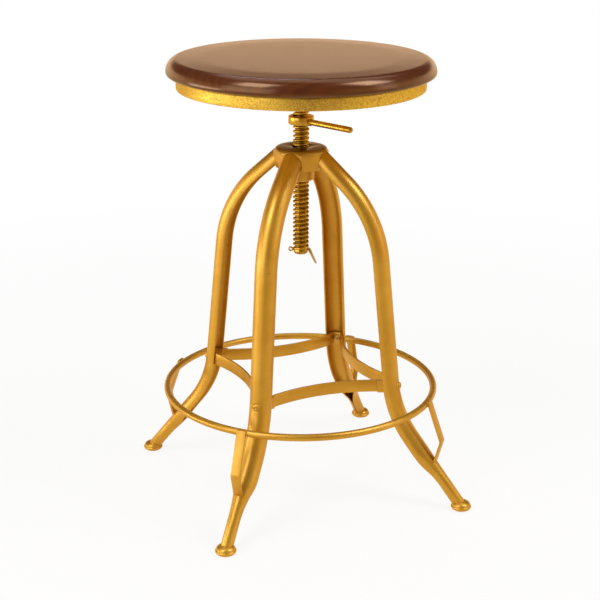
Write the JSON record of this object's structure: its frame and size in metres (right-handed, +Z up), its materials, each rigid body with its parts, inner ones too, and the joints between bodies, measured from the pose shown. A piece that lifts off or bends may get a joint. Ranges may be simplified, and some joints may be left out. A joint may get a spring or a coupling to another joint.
{
  "type": "adjustable stool",
  "caption": "Screw stool with a round wooden seat on a threaded spindle, a lever lock nut, bent metal legs, braces and a round foot ring.",
  "frame": {"origin": "on the floor, under the spindle axis, midway between the four feet", "axes": "+Z up along the spindle; -Y is the front; the legs stand on the diagonals between X and Y"},
  "size_m": [0.3838, 0.3838, 0.61],
  "materials": {
    "gold_paint": "satin gold powder coat",
    "gold_metallic_paint": "metallic gold coat with coarse flake",
    "brassed_steel": "bright brass plating, slightly tarnished",
    "zinc_screw": "yellow zinc plating",
    "lacquered_wood": "dark walnut stain, satin lacquer",
    "glide_plastic": "matt black nylon",
    "fibre_washer": "red-brown vulcanised fibre"
  },
  "bodies": {
    "frame": {"brace_back": "gold_paint", "brace_bolts": "gold_paint", "brace_front": "gold_paint", "brace_left": "gold_paint", "brace_nuts": "zinc_screw", "brace_right": "gold_paint", "foot_back_left": "gold_paint", "foot_back_right": "gold_paint", "foot_front_left": "gold_paint", "foot_front_right": "gold_paint", "foot_ring": "gold_paint", "glide_back_left": "glide_plastic", "glide_back_right": "glide_plastic", "glide_front_left": "glide_plastic", "glide_front_right": "glide_plastic", "hub": "gold_paint", "leg_back_left": "gold_paint", "leg_back_right": "gold_paint", "leg_front_left": "gold_paint", "leg_front_right": "gold_paint", "ring_bar_back_left": "gold_paint", "ring_bar_back_right": "gold_paint", "ring_bar_front_left": "gold_paint", "ring_bar_front_right": "gold_paint", "spindle_bush": "gold_paint"},
    "seat_lift": {"spindle_top_washer": "zinc_screw"},
    "seat": {"flange_screws": "zinc_screw", "pan_screws": "zinc_screw", "seat_flange": "gold_metallic_paint", "seat_pan": "gold_metallic_paint", "spindle": "brassed_steel", "spindle_top_nut": "zinc_screw", "stop_pin": "zinc_screw", "wood_seat": "lacquered_wood"},
    "lock_lift": {"lock_washer": "fibre_washer"},
    "lock": {"lock_lever": "brassed_steel", "lock_nut": "brassed_steel"}
  },
  "joints": [
    {"name": "seat_rise", "type": "slide", "parent": "frame", "child": "seat_lift", "axis": [0, 0, 1], "range_m": [-0.0481, 0.0931]},
    {"name": "seat_turn", "type": "hinge", "parent": "seat_lift", "child": "seat", "pos_m": [0, 0, 0.5], "axis": [0, 0, 1], "range_deg": [-2880, 5580]},
    {"name": "lock_rise", "type": "slide", "parent": "frame", "child": "lock_lift", "axis": [0, 0, 1], "range_m": [-0.0295, 0.0001]},
    {"name": "lock_turn", "type": "hinge", "parent": "lock_lift", "child": "lock", "pos_m": [0, 0, 0.526], "axis": [0, 0, 1], "range_deg": [-1764, 0]}
  ],
  "couplings": [
    {"joint": "seat_rise", "follows": "seat_turn", "m_per_rad": 0.00095493},
    {"joint": "lock_rise", "follows": "lock_turn", "m_per_rad": 0.00095493}
  ]
}
